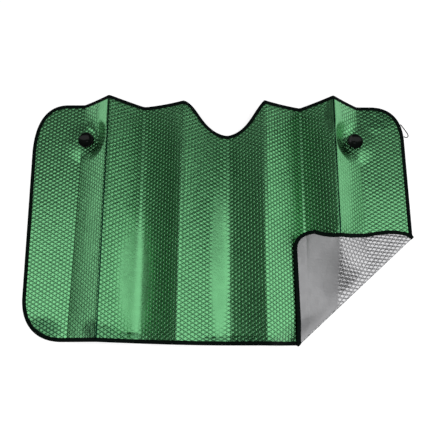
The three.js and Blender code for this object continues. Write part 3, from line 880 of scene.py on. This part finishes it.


# %% [markdown]
# Bubble marks. The foil materials paint shade into a narrow ring round each bubble. The group finds
# the nearest bubble of the staggered rows from the UV map and puts out its ring, its dome and a
# number of its own, so both foils can use it.

# %% Bubble marks group
bubble_marks, given, result = new_group(
    "bubble_marks",
    [("Flat", "NodeSocketVector", None), ("Radius", "NodeSocketFloat", BUBBLE_RADIUS * MM)],
    [("Ring", "NodeSocketFloat"), ("Dome", "NodeSocketFloat"), ("Own", "NodeSocketFloat")],
)
cell = (2 * PITCH_ACROSS * MM, PITCH_ALONG * MM, 1)
place = vectors(bubble_marks, "DIVIDE", given["Flat"], cell)
distances = []
for shift in ((0.5, 0.5, 0), (0, 0, 0)):
    moved = vectors(bubble_marks, "ADD", place, shift)
    part = vectors(bubble_marks, "SUBTRACT", vectors(bubble_marks, "FRACTION", moved), (0.5, 0.5, 0))
    distances.append(vectors(bubble_marks, "LENGTH", vectors(bubble_marks, "MULTIPLY", part, cell)))
    last_cell = vectors(bubble_marks, "FLOOR", moved)
nearest = maths(bubble_marks, "MINIMUM", *distances)
share = maths(bubble_marks, "DIVIDE", nearest, given["Radius"])
ring = node(
    bubble_marks, "ShaderNodeMapRange",
    {"Value": maths(bubble_marks, "ABSOLUTE", maths(bubble_marks, "SUBTRACT", share, 1.0)),
     "From Min": 0.17, "From Max": 0.0}, interpolation_type="SMOOTHSTEP",
).outputs["Result"]
dome = node(
    bubble_marks, "ShaderNodeMapRange", {"Value": share, "From Min": 1.0, "From Max": 0.7},
    interpolation_type="SMOOTHSTEP",
).outputs["Result"]
own = node(
    bubble_marks, "ShaderNodeTexWhiteNoise", {"Vector": last_cell}, noise_dimensions="3D",
).outputs["Value"]
bubble_marks.links.new(ring, result["Ring"])
bubble_marks.links.new(dome, result["Dome"])
bubble_marks.links.new(own, result["Own"])

# %% [markdown]
# Crinkles. Metallised film creases wherever it was bent: fine, sharp-edged facets in no order. A
# Voronoi texture gives the facets and a stretched noise the longer creases.

# %% Crinkle group
crinkle, given, result = new_group(
    "crinkle",
    [("Flat", "NodeSocketVector", None), ("Size", "NodeSocketFloat", 0.004)],
    [("Height", "NodeSocketFloat"), ("Patches", "NodeSocketFloat")],
)
scale = maths(crinkle, "DIVIDE", 1.0, given["Size"])
facets = node(
    crinkle, "ShaderNodeTexVoronoi", {"Vector": given["Flat"], "Scale": scale}, feature="SMOOTH_F1",
).outputs["Distance"]
creases = node(
    crinkle, "ShaderNodeTexNoise",
    {"Vector": vectors(crinkle, "MULTIPLY", given["Flat"], (1.0, 0.35, 1.0)), "Scale": scale, "Detail": 3.0},
).outputs["Fac"]
blotches = node(
    crinkle, "ShaderNodeTexNoise", {"Vector": given["Flat"], "Scale": 14.0, "Detail": 4.0, "Roughness": 0.6},
).outputs["Fac"]
crinkle.links.new(maths(crinkle, "MULTIPLY_ADD", creases, 0.9, facets), result["Height"])
crinkle.links.new(blotches, result["Patches"])


# %% [markdown]
# Ridge shade lines. Where the foil was creased hard, a thin dark line of painted shade runs along
# the ridge. The UV map's first coordinate is the place across the flat sheet, so a line at one
# value of it follows its fold all the way down.

# %% Ridge shade lines group
SHADED_RIDGE_FOLDS = [LEFT_OUTER_RIDGE, RIGHT_OUTER_RIDGE]
RIDGE_SHADE_HALF_WIDTH = 2.0
ridge_shade_lines, given, result = new_group(
    "ridge_shade_lines", [("Flat", "NodeSocketVector", None)], [("Mark", "NodeSocketFloat")],
)
across_sheet = node(ridge_shade_lines, "ShaderNodeSeparateXYZ", {0: given["Flat"]}).outputs["X"]
marks = 0.0
for fold in SHADED_RIDGE_FOLDS:
    beside = maths(ridge_shade_lines, "SUBTRACT", across_sheet, fold_flat[fold - 1] * MM)
    line = node(
        ridge_shade_lines, "ShaderNodeMapRange",
        {"Value": maths(ridge_shade_lines, "ABSOLUTE", beside),
         "From Min": RIDGE_SHADE_HALF_WIDTH * MM, "From Max": RIDGE_SHADE_HALF_WIDTH / 2 * MM},
    ).outputs["Result"]
    marks = maths(ridge_shade_lines, "MAXIMUM", line, marks)
broken = node(ridge_shade_lines, "ShaderNodeTexNoise", {"Vector": given["Flat"], "Scale": 30.0}).outputs["Fac"]
marks = maths(ridge_shade_lines, "MULTIPLY", marks, maths(ridge_shade_lines, "MULTIPLY", broken, 2.0))
ridge_shade_lines.links.new(marks, result["Mark"])

# %% [markdown]
# Foil. Both films are metallised plastic: fully metallic, with a soft gloss. Painted shade deepens
# the colour in the rings between the bubbles, where light is reflected twice, and where the film
# is rumpled. Slack film has no rings, is a little duller, and painted shade darkens it too. A
# texture image could give all this, but it would blur close up, so the marks are worked out from
# the UV map and the two attributes instead.

# %% Foil materials
def mixed(tree, factor, a, b):
    """A colour between a and b."""
    made = node(tree, "ShaderNodeMix", {0: factor, 6: a, 7: b}, data_type="RGBA", clamp_factor=True)
    return made.outputs[2]


def placed_group(tree, group, inputs):
    """A node group placed in a material."""
    made = tree.nodes.new("ShaderNodeGroup")
    made.node_tree = group
    for socket, value in inputs.items():
        if isinstance(value, bpy.types.NodeSocket):
            tree.links.new(value, made.inputs[socket])
        else:
            made.inputs[socket].default_value = value
    return made.outputs


BLOTCH_DEPTH = 0.3
RUMPLE_SHADE_DEPTH = 0.45
CRINKLE_HEIGHT = 0.3
RUMPLE_HEIGHT = 4.0
RELIEF = 0.6


def foil(name, bright, deep, roughness, ring_shade_depth, slack_shade_depth, slack_roughness, shaded_ridges):
    """A metallised film in two tones, whose deep tone also carries painted shade."""
    material, tree, shader = new_material(name)
    flat = node(tree, "ShaderNodeUVMap", uv_map="flat").outputs["UV"]
    slack = node(tree, "ShaderNodeAttribute", attribute_name="slack").outputs["Fac"]
    rumpled = node(tree, "ShaderNodeAttribute", attribute_name="rumpled").outputs["Fac"]
    tight = maths(tree, "SUBTRACT", 1.0, slack)
    marks = placed_group(tree, bubble_marks, {"Flat": flat})
    creased = placed_group(tree, crinkle, {"Flat": flat})
    rumples = placed_group(tree, crinkle, {"Flat": flat, "Size": 0.014})
    ring = maths(tree, "MULTIPLY", marks["Ring"], tight)
    # Painted shade: the colour deepens in the rings between the bubbles.
    ring_shade = maths(tree, "MULTIPLY", ring, ring_shade_depth)
    tone = maths(tree, "MULTIPLY_ADD", creased["Patches"], BLOTCH_DEPTH, ring_shade)
    # Painted shade: slack film is coloured darker.
    tone = maths(tree, "MULTIPLY_ADD", slack, slack_shade_depth, tone)
    # Painted shade: the colour deepens where the film is rumpled.
    tone = maths(tree, "MULTIPLY_ADD", rumpled, RUMPLE_SHADE_DEPTH, tone)
    # Painted shade: thin dark lines along the two hard-creased ridges.
    if shaded_ridges:
        tone = maths(tree, "ADD", tone, placed_group(tree, ridge_shade_lines, {"Flat": flat})["Mark"])
    tone = maths(tree, "SUBTRACT", tone, BLOTCH_DEPTH / 2)
    tree.links.new(mixed(tree, tone, bright, deep), shader.inputs["Base Color"])
    rough = maths(tree, "MULTIPLY_ADD", marks["Own"], 0.06, roughness)
    rough = maths(tree, "MULTIPLY_ADD", slack, slack_roughness, rough)
    tree.links.new(maths(tree, "MULTIPLY_ADD", ring, 0.1, rough), shader.inputs["Roughness"])
    height = maths(tree, "MULTIPLY", marks["Dome"], tight)
    height = maths(tree, "MULTIPLY_ADD", creased["Height"], CRINKLE_HEIGHT, height)
    folds = maths(tree, "MULTIPLY", rumples["Height"], rumpled)
    height = maths(tree, "MULTIPLY_ADD", folds, RUMPLE_HEIGHT, height)
    bump = node(tree, "ShaderNodeBump", {"Height": height, "Distance": RELIEF * MM, "Strength": 1.0})
    tree.links.new(bump.outputs["Normal"], shader.inputs["Normal"])
    shader.inputs["Metallic"].default_value = 1.0
    return material


green_foil = foil(
    "green_foil", (0.18, 0.52, 0.235, 1), (0.003, 0.028, 0.015, 1), 0.2, 0.9, 0.14, 0.04, True,
)
silver_foil = foil(
    "silver_foil", (0.60, 0.60, 0.61, 1), (0.08, 0.08, 0.085, 1), 0.22, 0.95, 0.38, 0.3, False,
)

# %% [markdown]
# Woven tape and thread. Black polyester: two crossed waves give the weave of the tape. Its matt
# threads hardly reflect, so the specular level is low.

# %% Fabric materials
def fabric(name, colour, thread_size, along_uv):
    """A woven or twisted black fabric."""
    material, tree, shader = new_material(name)
    if along_uv:
        place = node(tree, "ShaderNodeUVMap", uv_map="flat").outputs["UV"]
    else:
        place = node(tree, "ShaderNodeTexCoord").outputs["Object"]
    threads = 1 / (thread_size * MM)
    warp = node(
        tree, "ShaderNodeTexWave", {"Vector": place, "Scale": threads / 6.2832, "Distortion": 0.6},
        wave_type="BANDS", bands_direction="X",
    ).outputs["Fac"]
    weft = node(
        tree, "ShaderNodeTexWave", {"Vector": place, "Scale": threads / 6.2832, "Distortion": 0.6},
        wave_type="BANDS", bands_direction="Y",
    ).outputs["Fac"]
    weave = maths(tree, "MULTIPLY", warp, weft)
    dust = node(tree, "ShaderNodeTexNoise", {"Vector": place, "Scale": 60.0, "Detail": 4.0}).outputs["Fac"]
    pale = (*[2.2 * part for part in colour[:3]], 1)
    tone = maths(tree, "MULTIPLY", weave, dust)
    tree.links.new(mixed(tree, tone, colour, pale), shader.inputs["Base Color"])
    bump = node(tree, "ShaderNodeBump", {"Height": weave, "Distance": 0.15 * MM, "Strength": 0.8})
    tree.links.new(bump.outputs["Normal"], shader.inputs["Normal"])
    shader.inputs["Roughness"].default_value = 0.85
    shader.inputs["Specular IOR Level"].default_value = 0.06
    return material


tape_fabric = fabric("tape_fabric", (0.0025, 0.0055, 0.0045, 1), 0.7, True)
thread_fabric = fabric("thread_fabric", (0.006, 0.008, 0.007, 1), 0.25, False)
elastic_fabric = fabric("elastic_fabric", (0.003, 0.003, 0.0035, 1), 0.5, False)

# %% [markdown]
# Soft PVC. The cups are glossy and a little smeared by fingers, so their roughness varies.

# %% Cup material
cup_pvc, tree, shader = new_material("cup_pvc")
place = node(tree, "ShaderNodeTexCoord").outputs["Object"]
smears = node(tree, "ShaderNodeTexNoise", {"Vector": place, "Scale": 90.0, "Detail": 3.0}).outputs["Fac"]
smeared = mixed(tree, smears, (0.0015, 0.003, 0.0025, 1), (0.004, 0.006, 0.005, 1))
tree.links.new(smeared, shader.inputs["Base Color"])
tree.links.new(maths(tree, "MULTIPLY_ADD", smears, 0.18, 0.1), shader.inputs["Roughness"])
shader.inputs["Specular IOR Level"].default_value = 0.2

# %% [markdown]
# Each piece gets its material and rides on the one body that the shade has, and the CAD node
# it stands for is hidden.

# %% Dress the pieces
def dress(piece, material, slot, *nodes):
    """Material, body, slot (not used) and replaced nodes of a piece."""
    piece.data.materials.append(material)
    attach(piece, "root")
    if nodes:
        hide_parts(*nodes)


dress(green_film, green_foil, "green_foil", "bubble_foil_sheet")
dress(silver_film, silver_foil, "silver_foil", "bubble_foil_sheet")
dress(binding_tape, tape_fabric, "binding_tape", "edge_binding")
dress(seam_stitches, thread_fabric, "sewing_thread")
dress(elastic_loop, elastic_fabric, "elastic_cord", "elastic_loop")
for cad_node, cup in cups.items():
    dress(cup, cup_pvc, "cup_plastic", cad_node)

# %% [markdown]
# Floor. Pale and plain. The camera and the foil see it as white, by emission that only their rays
# get, so the shade's shadow stays and no more light falls on the shade.

# %% Floor
bm = bmesh.new()
bmesh.ops.create_grid(bm, x_segments=1, y_segments=1, size=6)
floor_mesh = bpy.data.meshes.new("floor")
bm.to_mesh(floor_mesh)
bm.free()
floor = bpy.data.objects.new("floor", floor_mesh)
bpy.context.scene.collection.objects.link(floor)
floor_white, tree, shader = new_material("floor_white")
shader.inputs["Base Color"].default_value = (0.8, 0.8, 0.8, 1)
shader.inputs["Roughness"].default_value = 0.9
light_path = node(tree, "ShaderNodeLightPath").outputs
seen = maths(tree, "MAXIMUM", light_path["Is Camera Ray"], light_path["Is Glossy Ray"])
seen = maths(tree, "MAXIMUM", seen, light_path["Is Transmission Ray"])
tree.links.new(maths(tree, "MULTIPLY", seen, 0.65), shader.inputs["Emission Strength"])
shader.inputs["Emission Color"].default_value = (1, 1, 1, 1)
floor_mesh.materials.append(floor_white)


# %% [markdown]
# Lights. Foil shows what it reflects, so the lights are placed for the panels to mirror: a wide
# softbox above for the flat ones, and one at the right for those that face it. The room behind
# them is dim, which darkens the top and the panels that face left, and it has a pale band at the
# horizon, where a real floor would run on.

# %% Lights
def softbox(name, place, aim, size, power):
    """A rectangular soft light."""
    data = bpy.data.lights.new(name, "AREA")
    data.shape = "RECTANGLE"
    data.size, data.size_y = size
    data.energy = power
    light = bpy.data.objects.new(name, data)
    light.location = place
    light.rotation_euler = (Vector(aim) - Vector(place)).to_track_quat("-Z", "Y").to_euler()
    bpy.context.scene.collection.objects.link(light)


softbox("overhead_softbox", (0.75, -0.4, 2.4), (0.75, -0.4, 0), (7.3, 2.3), 60)
softbox("right_softbox", (3.2, 0, 1.05), (0, 0, 0), (3.0, 1.2), 14)

world = bpy.data.worlds.new("studio")
bpy.context.scene.world = world
world.use_nodes = True
tree = world.node_tree
background = tree.nodes["Background"]
light_path = node(tree, "ShaderNodeLightPath").outputs
way = node(tree, "ShaderNodeTexCoord").outputs["Generated"]
up = node(tree, "ShaderNodeSeparateXYZ", {0: way}).outputs["Z"]
room = mixed(tree, up, (0.02, 0.02, 0.02, 1), (0.16, 0.16, 0.16, 1))
horizon = node(
    tree, "ShaderNodeMapRange", {"Value": up, "From Min": 0.15, "From Max": 0.05},
    interpolation_type="SMOOTHSTEP",
).outputs["Result"]
room = mixed(tree, horizon, room, (0.9, 0.9, 0.9, 1))
colour = mixed(tree, light_path["Is Camera Ray"], room, (1, 1, 1, 1))
tree.links.new(colour, background.inputs["Color"])
background.inputs["Strength"].default_value = 1.0

# %% [markdown]
# The view settings stay plain, so that colours render as they are written.

# %% View settings
bpy.context.scene.view_settings.view_transform = "Standard"
